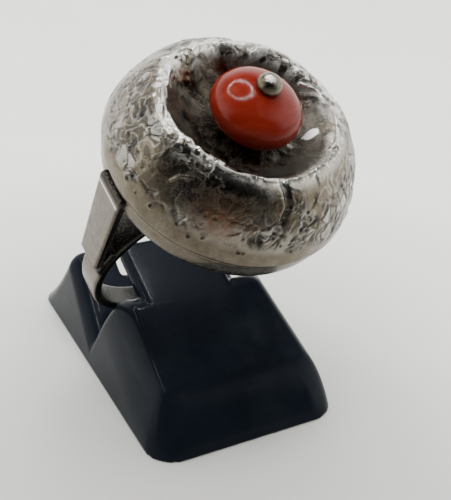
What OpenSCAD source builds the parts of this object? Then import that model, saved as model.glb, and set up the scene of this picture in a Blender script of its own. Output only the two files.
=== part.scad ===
// A domed silver ring with a coral bead in its crater, seated on the tongue of a small display stand.
// Millimetres, +Z up. The origin is the middle of the stand's base, and +Y points to the stand's back.

/* [Head of the ring] */
// Widest radius of the hollow head
head_r = 12.6; // [12.4:0.1:13]
// Height of the crest above the seam
head_h = 7.3; // [7:0.1:7.7]
// Radius of the seam between dome and cup
seam_r = 12.2; // [12:0.1:12.3]
// Depth of the back cup below the seam
cup_depth = 4.3; // [4.2:0.05:4.4]
// Thickness of the sheet silver
sheet = 0.8; // [0.6:0.1:0.9]
// Radius of the crest round the crater
crest_r = 8.45; // [8.2:0.05:8.7]
// Radius of the crater's floor
floor_r = 4.2; // [3.9:0.1:4.4]
// Depth of the crater below the crest
crater_depth = 2.95; // [2.6:0.05:3.1]
// How far the crater lies off the head's axis, to the left
crater_shift = 0.4; // [0:0.1:0.5]

/* [Finger band] */
// Inner radius of the finger hole
hole_r = 9.95; // [9.85:0.05:10.05]
// Thickness of the band
band_t = 1.05; // [1:0.05:1.15]
// Height of the seam above the middle of the finger hole
hole_drop = 15.15; // [15.05:0.05:15.2]
// Width of the band at its top and sides
band_top_w = 3.4; // [3:0.1:3.6]
// Width of the band at its lowest point
band_low_w = 2.3; // [2:0.1:2.6]

/* [Shoulder straps] */
// Width of a strap at its rolled top end
strap_top_w = 4.1; // [3.8:0.1:4.4]
// Width of a strap at its lower end
strap_low_w = 3.35; // [3:0.05:3.4]
// Thickness of a strap
strap_t = 0.95; // [0.85:0.05:1]
// Height of a strap's outer face along the band, from its lower end to its top end
strap_h = 11.4; // [11.2:0.1:11.6]

/* [Coral bead and pin] */
// Radius of the bead
bead_r = 4.4; // [4.15:0.05:4.55]
// Thickness of the bead at its middle
bead_h = 5.4; // [5:0.1:5.6]
// Radius of the pin's domed head
pin_head_r = 1.2; // [1:0.05:1.4]
// Radius of the pin's shank
pin_r = 0.55; // [0.45:0.05:0.6]

/* [Display stand] */
// Width of the stand at its base
stand_w = 22; // [21.6:0.1:22.8]
// Length of the stand from front to back
stand_l = 39.2; // [38.8:0.1:39.6]
// Height of the front lip
lip_h = 4.85; // [4.65:0.05:4.95]
// Slope of the front face and the tongue
slope = 23.4; // [22.8:0.1:23.6]
// Height of the two lobes behind the slot
lobe_h = 9.6; // [9.2:0.1:9.8]
// Thickness of the moulded wall
wall = 1.2; // [1:0.1:1.3]
// Width of the tongue
tongue_w = 10.9; // [10:0.1:11]
// Thickness of the tongue
tongue_t = 1.6; // [1.4:0.1:1.6]
// Width of the cut between the lobes
cut_w = 6.8; // [6:0.1:8]

/* [How the ring sits] */
// Turn of the ring about the vertical
ring_turn = 7.4; // [7:0.1:8]
// Forward tilt of the head
ring_tilt = 32.8; // [32.5:0.1:33.2]
// Lean of the ring to its side
ring_lean = 1; // [0.8:0.1:1.2]

/* [Hidden] */
fine = 120;
arc_steps = 14;
// Clearance between pieces that the real thing holds tight
gap = 0.06;
// Middle of the head's seam
ring_at = [-0.1, -12.15, 29];

// Head: its outline is a superellipse above the seam and a fuller one below it
dome_power = 1.56;
cup_power = 3.8;
widest_z = 0.3;
groove_d = 0.15;
crater_edge_r = crest_r + 0.2;
floor_z = head_h - crater_depth;
wall_shift = 0.45;
boss_r = 1.5;
boss_h = 2;

// Band and straps, in the ring's own frame: +X to the side, +Y along the finger, +Z along the head's axis
hole_z = -hole_drop;
band_r = hole_r + band_t;
strap_top_z = -1.25;
strap_top_x = 12.65;
strap_lean = 3.3;
roll_r = 0.5;
foot_t = 0.5;
foot_top = 20;
foot_low = 5;

// Stand: places along its length count from the front edge of the base
edge_r = 1.4;
side_r = 4.8;
draft = 0.15;
edge_lean = 0.25;
front_y = -stand_l / 2;
front_lean = 0.15;
plan_r = 3.4;
crown_y = 16;
crown_r = 2.6;
slot_y = 20.45;
slot_z = 3.4;
slot_front_slope = 61;
lobe_y = 30.15;
sill_y = 26.75;
back_bow_r = 30;
back_slope = 65;
bow_steps = 8;
tongue_end = 22.3;
tongue_corner_r = 1.6;
tongue_sunk = 0.02;
// How far the tongue and the cut below it lie off the middle of the stand
tongue_x = -0.85;
round_steps = 5;

function raise(v, p) = pow(max(v, 0), p);
function crest_line(r0, r1, z0, z1, power) =
    [for (i = [0:arc_steps]) let (t = 90 * i / arc_steps)
        [r0 + (r1 - r0) * raise(cos(t), 2 / power), z0 + (z1 - z0) * raise(sin(t), 2 / power)]];
function cup_line(r, depth) =
    [for (i = [0:arc_steps]) let (t = 90 * i / arc_steps)
        [r * raise(sin(t), 2 / cup_power), -depth * raise(cos(t), 2 / cup_power)]];
function crater_line(r0, r1, z0, z1) =
    [for (i = [0:arc_steps]) let (t = i / arc_steps)
        [r0 + (r1 - r0) * t, z0 + (z1 - z0) * t * t * (3 - 2 * t)]];

module head_form(inset) {
    rotate_extrude($fn = fine) polygon(concat(
        cup_line(seam_r - inset, cup_depth - inset),
        crest_line(crest_r, head_r - inset, widest_z, head_h - inset, dome_power),
        [[0, head_h - inset]]));
}

module crater(inset) {
    top = head_h + 1;
    translate([-crater_shift, 0, 0]) rotate_extrude($fn = fine) polygon(concat(
        [[0, floor_z - inset]],
        crater_line(floor_r + wall_shift * inset / sheet, crater_edge_r + wall_shift * inset / sheet,
            floor_z - inset, head_h - inset),
        [[crater_edge_r + wall_shift * inset / sheet, top], [0, top]]));
}

module hollow_head() {
    difference() {
        head_form(0);
        crater(0);
        difference() {
            head_form(sheet);
            crater(sheet);
            translate([0, 0, floor_z - boss_h]) cylinder(r = boss_r, h = boss_h, $fn = fine);
        }
        rotate_extrude($fn = fine) polygon(
            [[seam_r - groove_d, 0], [head_r, -groove_d], [head_r, groove_d]]);
        translate([0, 0, floor_z - boss_h + sheet]) cylinder(r = pin_r + gap, h = boss_h, $fn = fine);
    }
}

module finger_band() {
    reach = band_r + 1;
    intersection() {
        translate([0, 0, hole_z]) rotate([90, 0, 0]) difference() {
            cylinder(r = band_r, h = 2 * band_top_w, center = true, $fn = fine);
            cylinder(r = hole_r, h = 3 * band_top_w, center = true, $fn = fine);
        }
        rotate([90, 0, 90]) linear_extrude(height = 2 * reach, center = true) polygon([
            [-band_low_w / 2, hole_z - reach], [band_low_w / 2, hole_z - reach],
            [band_top_w / 2, hole_z], [band_top_w / 2, 0], [-band_top_w / 2, 0], [-band_top_w / 2, hole_z]]);
    }
}

// The strap's plate with its rolled top end, on the +X side
module strap_plate() {
    translate([strap_top_x, 0, strap_top_z]) rotate([0, strap_lean, 0]) {
        translate([-strap_t, 0, 0]) rotate([90, 0, 90]) linear_extrude(height = strap_t) polygon([
            [-strap_top_w / 2, 0], [-strap_low_w / 2, -strap_h],
            [strap_low_w / 2, -strap_h], [strap_top_w / 2, 0]]);
        translate([-roll_r, 0, 0]) rotate([90, 0, 0])
            cylinder(r = roll_r, h = strap_top_w, center = true, $fn = fine / 3);
    }
}

// The strap's foot: a thinner step on the band, bevelled at its end
module strap_foot() {
    bevel = 3;
    turns = [for (i = [0:6]) foot_low + bevel + (foot_top - foot_low - bevel) * i / 6];
    translate([0, 0, hole_z]) rotate([90, 0, 0]) linear_extrude(height = strap_low_w, center = true)
        polygon(concat(
            [for (a = turns) (band_r + foot_t) * [cos(a), sin(a)]],
            [(band_r - foot_t) * [cos(foot_top), sin(foot_top)],
             (band_r - foot_t) * [cos(foot_low), sin(foot_low)],
             band_r * [cos(foot_low), sin(foot_low)]]));
}

module shoulder() {
    strap_plate();
    strap_foot();
}

module seated() {
    translate(ring_at) rotate([0, 0, ring_turn]) rotate([ring_tilt, 0, 0]) rotate([0, ring_lean, 0])
        children();
}

module silver_ring() {
    color("silver") seated() union() {
        hollow_head();
        finger_band();
        shoulder();
        mirror([1, 0, 0]) shoulder();
    }
}

module coral_bead() {
    half = bead_h / 2;
    bore = pin_r + gap;
    first = asin(bore / bead_r);
    outline = [for (i = [0:2 * arc_steps]) let (t = first + (180 - 2 * first) * i / (2 * arc_steps))
        [bead_r * sin(t), half * cos(t)]];
    color([0.78, 0.16, 0.08]) seated() translate([0, 0, floor_z + gap + half])
        rotate_extrude($fn = fine) polygon(outline);
}

module bead_pin() {
    head_z = floor_z + bead_h + 2 * gap;
    foot_z = floor_z - boss_h + sheet + gap;
    sunk = 0.1;
    color("gainsboro") seated() {
        translate([0, 0, foot_z]) cylinder(r = pin_r, h = head_z - foot_z + sunk, $fn = fine / 2);
        intersection() {
            translate([0, 0, head_z + sunk]) sphere(r = pin_head_r, $fn = fine / 2);
            translate([0, 0, head_z + pin_head_r]) cube(2 * pin_head_r + sunk, center = true);
        }
    }
}

function slope_z(y) = lip_h + tan(slope) * (y - front_lean * lip_h);

// Rounds the corner b between a and c with radius r
function corner(a, b, c, r) =
    let (u = (a - b) / norm(a - b), v = (c - b) / norm(c - b), half = acos(u * v) / 2,
        middle = b + (u + v) / norm(u + v) * r / sin(half),
        p = b + u * r / tan(half) - middle, q = b + v * r / tan(half) - middle)
    [for (i = [0:round_steps]) let (w = p + (q - p) * i / round_steps) middle + r * w / norm(w)];

// Rounds each corner of an outline by its own radius, 0 for a sharp one
function rounded(points, radii) =
    [for (i = [0:len(points) - 1]) let (n = len(points))
        each radii[i] > 0 ? corner(points[(i + n - 1) % n], points[i], points[(i + 1) % n], radii[i])
            : [points[i]]];

// Moves each corner of an outline that runs clockwise inwards by d
function inset_outline(points, d) =
    [for (i = [0:len(points) - 1]) let (n = len(points), a = points[(i + n - 1) % n], b = points[i],
        c = points[(i + 1) % n], u = (b - a) / norm(b - a), v = (c - b) / norm(c - b))
        b + d * ([u[1], -u[0]] + [v[1], -v[0]]) / (1 + u * v)];

// An outline in the stand's side view, as a solid across its whole width
module across(points) {
    translate([0, front_y, 0]) rotate([90, 0, 90]) linear_extrude(height = 2 * stand_w, center = true)
        polygon(points);
}

// The stand's sides, which lean in as they rise
module side_walls(inset) {
    top = 2 * lobe_h;
    half = stand_w / 2 - inset;
    rotate([90, 0, 0]) linear_extrude(height = 3 * stand_l, center = true) polygon([
        [-half - draft * top, -top], [-half + draft * top, top],
        [half - draft * top, top], [half + draft * top, -top]]);
}

// The front wedge: lip, sloping face, crown and the slot's front wall
module front_block(inset) {
    foot_y = slot_y + slot_z / tan(slot_front_slope);
    deep = inset > 0 ? -2 * wall : 0;
    outline = [[front_lean * deep, deep], [front_lean * lip_h, lip_h], [crown_y, slope_z(crown_y)],
        [foot_y - deep / tan(slot_front_slope), deep]];
    intersection() {
        across(inset > 0 ? inset_outline(outline, inset) : rounded(outline, [0, edge_r, crown_r, 0]));
        side_walls(inset);
        front_plan(inset);
        round_edges(slope_z(0), slope, side_r, inset);
    }
}

// The front block's outline from above, with its rounded front corners
module front_plan(inset) {
    half = stand_w / 2 - inset;
    r = plan_r - inset;
    translate([0, front_y, -1]) linear_extrude(height = 2 * lobe_h) polygon(rounded(
        [[-half, inset], [-half, stand_l], [half, stand_l], [half, inset]], [r, 0, 0, r]));
}

// Two tunnels along the stand, one for each long edge of a face, which round these edges by outer_r; the face
// is at height z over the front edge and rises by tilt, and the tunnels close in as much as the sides do
module round_edges(z, tilt, outer_r, inset) {
    r = outer_r - inset;
    half = stand_w / 2 - draft * z - outer_r / 12 - inset;
    deep = 3 * lobe_h;
    translate([0, front_y, z]) rotate([tilt, 0, 0]) translate([0, 0, -inset]) intersection_for(side = [-1, 1])
        rotate([90, 0, side * atan(draft * sin(tilt))]) linear_extrude(height = 4 * stand_l, center = true)
            polygon(rounded([[-side * stand_w, -deep], [-side * stand_w, 0], [side * half, 0],
                [side * (half + edge_lean * deep), -deep]], [0, 0, r, 0]));
}

// Points on the shorter arc of radius r from p to q, which bows to the right; p itself is left out
function bow(p, q, r, n) =
    let (half = norm(q - p) / 2, along = (q - p) / (2 * half), side = [-along[1], along[0]],
        turn = asin(half / r), middle = (p + q) / 2 + r * cos(turn) * side)
    [for (i = [1:n]) let (t = turn * (2 * i / n - 1)) middle + r * (sin(t) * along - cos(t) * side)];

// The wedge behind the slot, round at its top and bowed at its back
module lobe_block(inset) {
    middle = [lobe_y, lobe_h - edge_r];
    dip = middle - [slot_y, slot_z];
    ramp = atan2(dip[1], dip[0]) + asin(edge_r / norm(dip));
    half = (ramp + back_slope) / 2;
    ridge = middle + edge_r / cos(half) * [sin(half - ramp), cos(half - ramp)];
    bow_top = middle + edge_r * [sin(back_slope), cos(back_slope)];
    deep = inset > 0 ? -2 * wall : 0;
    front = [slot_y + (deep - slot_z) / tan(ramp), deep];
    back = bow(bow_top, [stand_l, 0], back_bow_r, bow_steps);
    intersection() {
        across(inset > 0 ? inset_outline(concat([front, ridge], back, [[stand_l - deep, deep]]), inset)
            : rounded(concat([front, ridge], back), concat([0, edge_r], [for (p = back) 0])));
        side_walls(inset);
        if (inset == 0) round_edges(lobe_h, 0, side_r / 2, 0);
    }
}

module lobe_cut(grow) {
    translate([tongue_x - cut_w / 2 - grow, front_y + sill_y - grow, -1 - 2 * grow])
        cube([cut_w + 2 * grow, stand_l, 3 * lobe_h]);
}

// The tongue carries on the sloping face; its edges are round and so are the corners of its end
module tongue() {
    half = tongue_w / 2;
    r = tongue_t / 2;
    root_y = crown_y - 2 * crown_r;
    along = (tongue_end - root_y) / cos(slope);
    translate([tongue_x, front_y + root_y, slope_z(root_y) - tongue_sunk]) rotate([slope, 0, 0])
    intersection() {
        rotate([90, 0, 0]) linear_extrude(height = 3 * along, center = true) polygon(rounded(
            [[-half, -tongue_t], [-half, 0], [half, 0], [half, -tongue_t]], [1, 1, 1, 1] * r * 0.96));
        translate([0, 0, -2 * tongue_t]) linear_extrude(height = 3 * tongue_t) polygon(rounded(
            [[-half, 0], [-half, along], [half, along], [half, 0]],
            [0, tongue_corner_r, tongue_corner_r, 0]));
    }
}

module display_stand() {
    color([0.06, 0.08, 0.1]) difference() {
        union() {
            front_block(0);
            difference() {
                lobe_block(0);
                lobe_cut(0);
            }
            tongue();
        }
        front_block(wall);
        difference() {
            lobe_block(wall);
            lobe_cut(wall);
        }
    }
}

silver_ring();
coral_bead();
bead_pin();
display_stand();
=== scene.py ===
import math

import bpy
import numpy as np
from mathutils import Matrix, Vector


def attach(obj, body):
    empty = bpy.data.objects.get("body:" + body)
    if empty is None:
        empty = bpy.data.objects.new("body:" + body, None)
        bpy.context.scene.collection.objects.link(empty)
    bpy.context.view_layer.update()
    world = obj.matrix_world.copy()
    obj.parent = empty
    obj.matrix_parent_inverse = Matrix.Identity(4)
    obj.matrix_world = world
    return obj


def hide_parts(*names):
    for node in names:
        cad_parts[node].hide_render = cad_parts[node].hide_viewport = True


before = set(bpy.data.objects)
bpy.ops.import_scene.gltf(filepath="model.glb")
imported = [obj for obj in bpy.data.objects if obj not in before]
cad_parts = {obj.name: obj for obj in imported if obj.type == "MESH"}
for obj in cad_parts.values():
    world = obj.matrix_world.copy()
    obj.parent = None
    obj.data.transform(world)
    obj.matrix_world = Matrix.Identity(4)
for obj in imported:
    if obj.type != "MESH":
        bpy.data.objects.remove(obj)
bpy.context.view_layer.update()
scene = bpy.context.scene
MM, MM_PER_M = 0.001, 1000
# The Mix node's two colour inputs and its colour output
MIX_A, MIX_B, MIX_COLOUR = 6, 7, 2

# Camera, fitted to the photograph
CAMERA_AT = Vector((-36.61, -80.79, 58.42)) * MM
VIEW_AHEAD = Vector((0.41866, 0.78772, -0.45190)).normalized()
VIEW_RIGHT = Vector((0.88957, -0.45584, 0.02956))
VIEW_RIGHT = (VIEW_RIGHT - VIEW_AHEAD * VIEW_RIGHT.dot(VIEW_AHEAD)).normalized()
LENS_MM, SENSOR_MM = 61.89, 36
CLIP_FROM, CLIP_TO = 0.005, 20


def standing(at, x, y, z):
    """The matrix of an object at a place and with the given axes."""
    return Matrix.Translation(at) @ Matrix((x, y, z)).transposed().to_4x4()


def make_camera():
    data = bpy.data.cameras.new("camera")
    data.lens = LENS_MM
    data.sensor_width = SENSOR_MM
    data.clip_start = CLIP_FROM
    data.clip_end = CLIP_TO
    camera = bpy.data.objects.new("camera", data)
    up = VIEW_RIGHT.cross(VIEW_AHEAD)
    camera.matrix_world = standing(CAMERA_AT, VIEW_RIGHT, up, -VIEW_AHEAD)
    scene.collection.objects.link(camera)
    scene.camera = camera


# Where the ring sits: the place of its own frame in mm, and how it is turned in degrees
RING_AT = np.array([-0.1, -12.15, 29.0])
RING_TURN, RING_TILT, RING_LEAN = 7.4, 32.8, 1.0


def turn_about(axis, degrees):
    return np.array(Matrix.Rotation(math.radians(degrees), 3, axis))


RING_AXES = turn_about("Z", RING_TURN) @ turn_about("X", RING_TILT) @ turn_about("Y", RING_LEAN)


def seated(points):
    """Points of the ring's own frame in the part's frame."""
    return points @ RING_AXES.T + RING_AT


# Noise from whole numbers, the same on each run
HASH_FACTORS = (73856093, 19349663, 83492791)
SEED_FACTOR = 2654435761
HASH_STEP = 0x9E3779B9
HASH_ROUNDS = ((16, 0x7FEB352D), (15, 0x846CA68B))
HASH_MASK = 0xFFFFFFFF
NOISE_GAIN = 1.6
# A distance that stands for out of reach
FAR = 9.0


def lattice(i, seed, count):
    """Random numbers from 0 to 1, count of them for each whole point."""
    i = i.astype(np.int64)
    a, b, c = (i[..., k] * HASH_FACTORS[k] for k in range(3))
    h = a ^ b ^ c ^ (seed * SEED_FACTOR)
    out = []
    for k in range(count):
        g = (h + k * HASH_STEP) & HASH_MASK
        for shift, factor in HASH_ROUNDS:
            g = ((g ^ (g >> shift)) * factor) & HASH_MASK
        out.append((g ^ (g >> 16)) / (HASH_MASK + 1))
    return np.stack(out, -1)


def noise(p, seed):
    """Smooth noise of about -1 to 1 with features one unit across."""
    base = np.floor(p)
    f = p - base
    w = f * f * f * (f * (f * 6 - 15) + 10)
    total = np.zeros(len(p))
    for corner in np.ndindex(2, 2, 2):
        c = np.array(corner)
        g = lattice(base + c, seed, 3) * 2 - 1
        total += (g * (f - c)).sum(1) * np.prod(np.where(c, w, 1 - w), 1)
    return total * NOISE_GAIN


def layered(p, seed, octaves):
    """Noise with finer and weaker noise added to it."""
    return sum(noise(p * 2**k + 17 * k, seed + k) / 2**k for k in range(octaves))


def cells(p, seed):
    """Distances to the two nearest of scattered points, and a number of the nearest's own."""
    base = np.floor(p)
    near = np.full(len(p), FAR)
    second = np.full(len(p), FAR)
    own = np.zeros(len(p))
    for corner in np.ndindex(3, 3, 3):
        at = base + np.array(corner) - 1
        r = lattice(at, seed, 4)
        d = np.linalg.norm(at + r[:, :3] - p, axis=1)
        closer = d < near
        second = np.where(closer, near, np.minimum(second, d))
        own = np.where(closer, r[:, 3], own)
        near = np.where(closer, d, near)
    return near, second, own


def smooth(x, lo=0.0, hi=1.0):
    """A soft step from 0 at lo to 1 at hi."""
    t = np.clip((x - lo) / (hi - lo), 0, 1)
    return t * t * (3 - 2 * t)


def below(x, full, none):
    """1 for values up to full, and 0 from none on."""
    return smooth(-x, -none, -full)


def within(x, middle, full, none):
    """1 for values no further than full from the middle, and 0 from none on."""
    return smooth(-np.abs(x - middle), -none, -full)


def bell(x, width, middle=0.0):
    return np.exp(-(((x - middle) / width) ** 2))


def away(p, middle, size=1.0):
    """Distance from a place, in units of size, which may differ by axis."""
    return np.linalg.norm((p - middle) / size, axis=1)


# Meshes
def piece(name, points, faces, node, material, marks=None):
    """A shaded mesh of points in millimetres, which rides on the part and stands for a CAD node."""
    mesh = bpy.data.meshes.new(name)
    faces = np.asarray(faces, np.int32)
    sides = faces.shape[1]
    mesh.vertices.add(len(points))
    mesh.vertices.foreach_set("co", (np.asarray(points) * MM).astype(np.float32).ravel())
    mesh.loops.add(faces.size)
    mesh.loops.foreach_set("vertex_index", faces.ravel())
    mesh.polygons.add(len(faces))
    mesh.polygons.foreach_set("loop_start", np.arange(len(faces), dtype=np.int32) * sides)
    mesh.update(calc_edges=True)
    mesh.validate()
    mesh.polygons.foreach_set("use_smooth", np.ones(len(mesh.polygons), bool))
    for mark, values in (marks or {}).items():
        layer = mesh.attributes.new(mark, "FLOAT", "POINT")
        layer.data.foreach_set("value", np.asarray(values, np.float32))
    obj = bpy.data.objects.new(name, mesh)
    scene.collection.objects.link(obj)
    obj.data.materials.append(material)
    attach(obj, "root")
    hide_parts(node)


def ring_quads(rows, columns):
    """Quads between neighbouring rows of points, each row closed into a ring."""
    i, j = np.meshgrid(np.arange(rows - 1), np.arange(columns), indexing="ij")
    k = (j + 1) % columns
    corners = [i * columns + j, i * columns + k, (i + 1) * columns + k, (i + 1) * columns + j]
    return np.stack(corners, -1).reshape(-1, 4)


def cap(ring, centre, flip=False):
    """A fan of triangles from a ring of points to its centre."""
    a, b = ring, np.roll(ring, -1)
    if flip:
        a, b = b, a
    return np.stack([a, b, np.full(len(ring), centre)], -1)


def capped(p, columns, first, last):
    """Points in rows of columns, closed at their first and last row by a fan to the given points."""
    count = len(p)
    rows = count // columns
    ring = np.arange(columns)
    quads = ring_quads(rows, columns)
    fans = [cap(ring, count, True), cap(ring + (rows - 1) * columns, count + 1)]
    faces = np.vstack([quads[:, [0, 1, 2]], quads[:, [0, 2, 3]], *fans])
    return np.vstack([p, [first], [last]]), faces


def revolved(outline, columns):
    """Points of an outline in (radius, height) turned about the axis."""
    a = np.linspace(0, 2 * math.pi, columns, endpoint=False)
    r, z = outline[:, :1], outline[:, 1:]
    return np.stack([r * np.cos(a), r * np.sin(a), z + 0 * a], -1).reshape(-1, 3)


def evenly(outline, step):
    """The same line with points step apart."""
    length = np.r_[0, np.cumsum(np.linalg.norm(np.diff(outline, axis=0), axis=1))]
    n = max(2, int(round(length[-1] / step)) + 1)
    at = np.linspace(0, length[-1], n)
    return np.stack([np.interp(at, length, outline[:, k]) for k in range(outline.shape[1])], -1)


# Rounded solids from distance functions, which are below 0 inside
def both(a, b, r):
    """Intersection of two solids with an edge rounded by r."""
    u, v = np.maximum(a + r, 0), np.maximum(b + r, 0)
    return np.minimum(-r, np.maximum(a, b)) + np.hypot(u, v)


def either(a, b, r):
    """Union of two solids with a fillet of r."""
    return -both(-a, -b, r)


# block() takes the plain depth, of INNER_DEPTH or more, where less than ROUNDED_FROM of a rounding reaches
ROUNDED_FROM, INNER_DEPTH = 0.05, 1.5


def block(*faces):
    """Intersection of solids, each given with how deep the rounding of its edges reaches."""
    u = [np.maximum(a / r + 1, 0) for a, r in faces]
    s = np.sqrt(sum(v * v for v in u))
    steep = np.sqrt(sum((v / r) ** 2 for v, (a, r) in zip(u, faces)))
    deepest = np.max([a for a, r in faces], axis=0)
    return np.where(s > ROUNDED_FROM, (s - 1) * s / np.maximum(steep, 1e-9), np.minimum(deepest, -INNER_DEPTH))


# The grid is worked out in slabs, and its points are laid on the surface and eased in turn
SLABS, LAYINGS, STEPS_ONTO = 12, 4, 3


def skin(solid, lo, hi, step):
    """Vertices and quads on the surface of a solid given by its distance function."""
    axes = [np.arange(lo[k], hi[k] + step, step) for k in range(3)]
    grid = np.stack(np.meshgrid(*axes, indexing="ij"), -1)
    slabs = np.array_split(grid, SLABS)
    f = np.concatenate([solid(slab.reshape(-1, 3)).reshape(slab.shape[:-1]) for slab in slabs])
    inside = f < 0
    shape = np.array(f.shape) - 1
    corners = list(np.ndindex(2, 2, 2))
    parts = [inside[a:a + shape[0], b:b + shape[1], c:c + shape[2]] for a, b, c in corners]
    crossed = np.any(parts, axis=0) & ~np.all(parts, axis=0)
    cell = np.argwhere(crossed)
    total = np.zeros((len(cell), 3))
    count = np.zeros(len(cell))
    for a in corners:
        for k in range(3):
            if a[k]:
                continue
            b = tuple(v + (j == k) for j, v in enumerate(a))
            fa, fb = f[tuple((cell + a).T)], f[tuple((cell + b).T)]
            cut = (fa < 0) != (fb < 0)
            t = np.where(cut, fa / np.where(cut, fa - fb, 1), 0)
            at = np.array(a, float) + t[:, None] * (np.array(b) - a)
            total += at * cut[:, None]
            count += cut
    points = np.asarray(lo) + (cell + total / count[:, None]) * step
    index = np.full(shape, -1)
    index[tuple(cell.T)] = np.arange(len(cell))
    quads = []
    for k in range(3):
        i, j = (k + 1) % 3, (k + 2) % 3
        here = np.take(inside, range(shape[k]), axis=k)
        there = np.take(inside, range(1, shape[k] + 1), axis=k)
        e = np.argwhere(here != there)
        e = e[(e[:, i] > 0) & (e[:, j] > 0) & (e[:, i] < shape[i]) & (e[:, j] < shape[j])]
        out = here[tuple(e.T)]
        ring = []
        for di, dj in ((1, 1), (0, 1), (0, 0), (1, 0)):
            c = e.copy()
            c[:, i] -= di
            c[:, j] -= dj
            ring.append(index[tuple(c.T)])
        q = np.stack(ring, -1)
        quads.append(np.where(out[:, None], q, q[:, ::-1]))
    quads = np.vstack(quads)
    for k in range(LAYINGS):
        if k:
            points = eased(points, quads)
        for _ in range(STEPS_ONTO):
            points = onto(solid, points, step)
    return points, quads


def slope_of(solid, points, e=0.004):
    """The distance function's slope, measured over e to each side."""
    return np.stack([solid(points + d) - solid(points - d) for d in np.eye(3) * e], -1) / (2 * e)


def onto(solid, points, step):
    """Moves points along the slope of the distance function to the surface."""
    f, g = solid(points), slope_of(solid, points)
    move = f[:, None] * g / np.maximum((g * g).sum(1, keepdims=True), 0.05)
    far = np.linalg.norm(move, axis=1, keepdims=True)
    return points - move * np.minimum(1, step / np.maximum(far, 1e-9))


def eased(points, quads):
    """Moves each point half of the way to the middle of its neighbours."""
    total = np.zeros_like(points)
    count = np.zeros(len(points))
    for k in range(4):
        a, b = quads[:, k], quads[:, (k + 1) % 4]
        for m, n in ((a, b), (b, a)):
            for axis in range(3):
                total[:, axis] += np.bincount(m, points[n, axis], len(points))
            count += np.bincount(m, minlength=len(points))
    return points + 0.5 * (total / count[:, None] - points)


# Node materials
class Nodes:
    """The node tree of a material or a world, written as calls."""

    def __init__(self, owner):
        owner.use_nodes = True
        self.owner = owner
        self.tree = owner.node_tree

    def node(self, kind, settings=None, **inputs):
        n = self.tree.nodes.new(kind)
        for key, value in (settings or {}).items():
            setattr(n, key, value)
        for key, value in inputs.items():
            self.feed(n.inputs[int(key[1:]) if key[0] == "_" else key.replace("_", " ")], value)
        return n

    def feed(self, socket, value):
        if isinstance(value, bpy.types.NodeSocket):
            self.tree.links.new(value, socket)
        else:
            socket.default_value = value

    def place(self, scale):
        """Object coordinates in millimetres times scale."""
        at = self.node("ShaderNodeTexCoord").outputs["Object"]
        s = scale if hasattr(scale, "__len__") else (scale,) * 3
        return self.node("ShaderNodeMapping", Vector=at, Scale=tuple(MM_PER_M * v for v in s)).outputs[0]

    def noise(self, scale, detail=3.0, roughness=0.55, distortion=0.0):
        n = self.node("ShaderNodeTexNoise", Vector=self.place(scale), Scale=1.0, Detail=detail,
                      Roughness=roughness, Distortion=distortion)
        return n.outputs["Fac"]

    def ramp(self, value, *stops):
        n = self.node("ShaderNodeValToRGB", Fac=value)
        ramp = n.color_ramp
        while len(ramp.elements) < len(stops):
            ramp.elements.new(0.5)
        for element, (at, colour) in zip(ramp.elements, stops):
            element.position = at
            element.color = (*colour, 1)
        return n.outputs["Color"]

    def remap(self, value, a, b, c=0.0, d=1.0):
        n = self.node("ShaderNodeMapRange", Value=value)
        for key, v in zip(("From Min", "From Max", "To Min", "To Max"), (a, b, c, d)):
            n.inputs[key].default_value = v
        return n.outputs["Result"]

    def math(self, operation, a, b=0.0):
        return self.node("ShaderNodeMath", {"operation": operation}, _0=a, _1=b).outputs[0]

    def measure(self, operation, **inputs):
        """A vector operation whose result is a number."""
        return self.node("ShaderNodeVectorMath", {"operation": operation}, **inputs).outputs["Value"]

    def mix(self, share, a, b, blend="MIX"):
        n = self.node("ShaderNodeMix", {"data_type": "RGBA", "blend_type": blend})
        self.feed(n.inputs[0], share)
        self.feed(n.inputs[MIX_A], (*a, 1) if isinstance(a, tuple) else a)
        self.feed(n.inputs[MIX_B], (*b, 1) if isinstance(b, tuple) else b)
        return n.outputs[MIX_COLOUR]

    def mark(self, name):
        """What the mesh says at each point under the given name, or 0."""
        return self.node("ShaderNodeAttribute", {"attribute_name": name}).outputs["Fac"]

    def bump(self, height, depth_mm, strength=1.0, normal=None):
        n = self.node("ShaderNodeBump", Height=height, Strength=strength, Distance=depth_mm * MM)
        if normal is not None:
            self.feed(n.inputs["Normal"], normal)
        return n.outputs["Normal"]

    def set(self, **inputs):
        """Sets or links the shader's inputs."""
        for key, value in inputs.items():
            self.feed(self.tree.nodes["Principled BSDF"].inputs[key.replace("_", " ")], value)


SILVER_DULL, SILVER_CLEAN = (0.128, 0.107, 0.080), (0.205, 0.179, 0.139)
BLOT_TINT, POLISH_AND_HIGHLIGHT_COLOUR, RUST_COLOUR = (0.6, 0.54, 0.47), (0.72, 0.70, 0.66), (0.20, 0.085, 0.045)
# What the oxide leaves of the silver's colour as it deepens
OXIDE_TINTS = (
    (0.0, (1.0, 1.0, 1.0)), (0.25, (0.72, 0.71, 0.69)), (0.5, (0.36, 0.37, 0.375)),
    (0.8, (0.40, 0.39, 0.385)), (1.0, (0.05, 0.05, 0.055)),
)
CORAL_DEEP, CORAL_LIGHT = (0.140, 0.0100, 0.0045), (0.165, 0.0145, 0.0075)
CORAL_PATCH, CORAL_FLECK = (0.22, 0.055, 0.034), (0.24, 0.06, 0.04)
PLASTIC_DARK, PLASTIC_LIGHT = (0.0050, 0.0070, 0.0110), (0.0060, 0.0084, 0.0130)
DUST_COLOUR, SMEAR_COLOUR = (0.014, 0.016, 0.018), (0.018, 0.022, 0.026)


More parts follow.
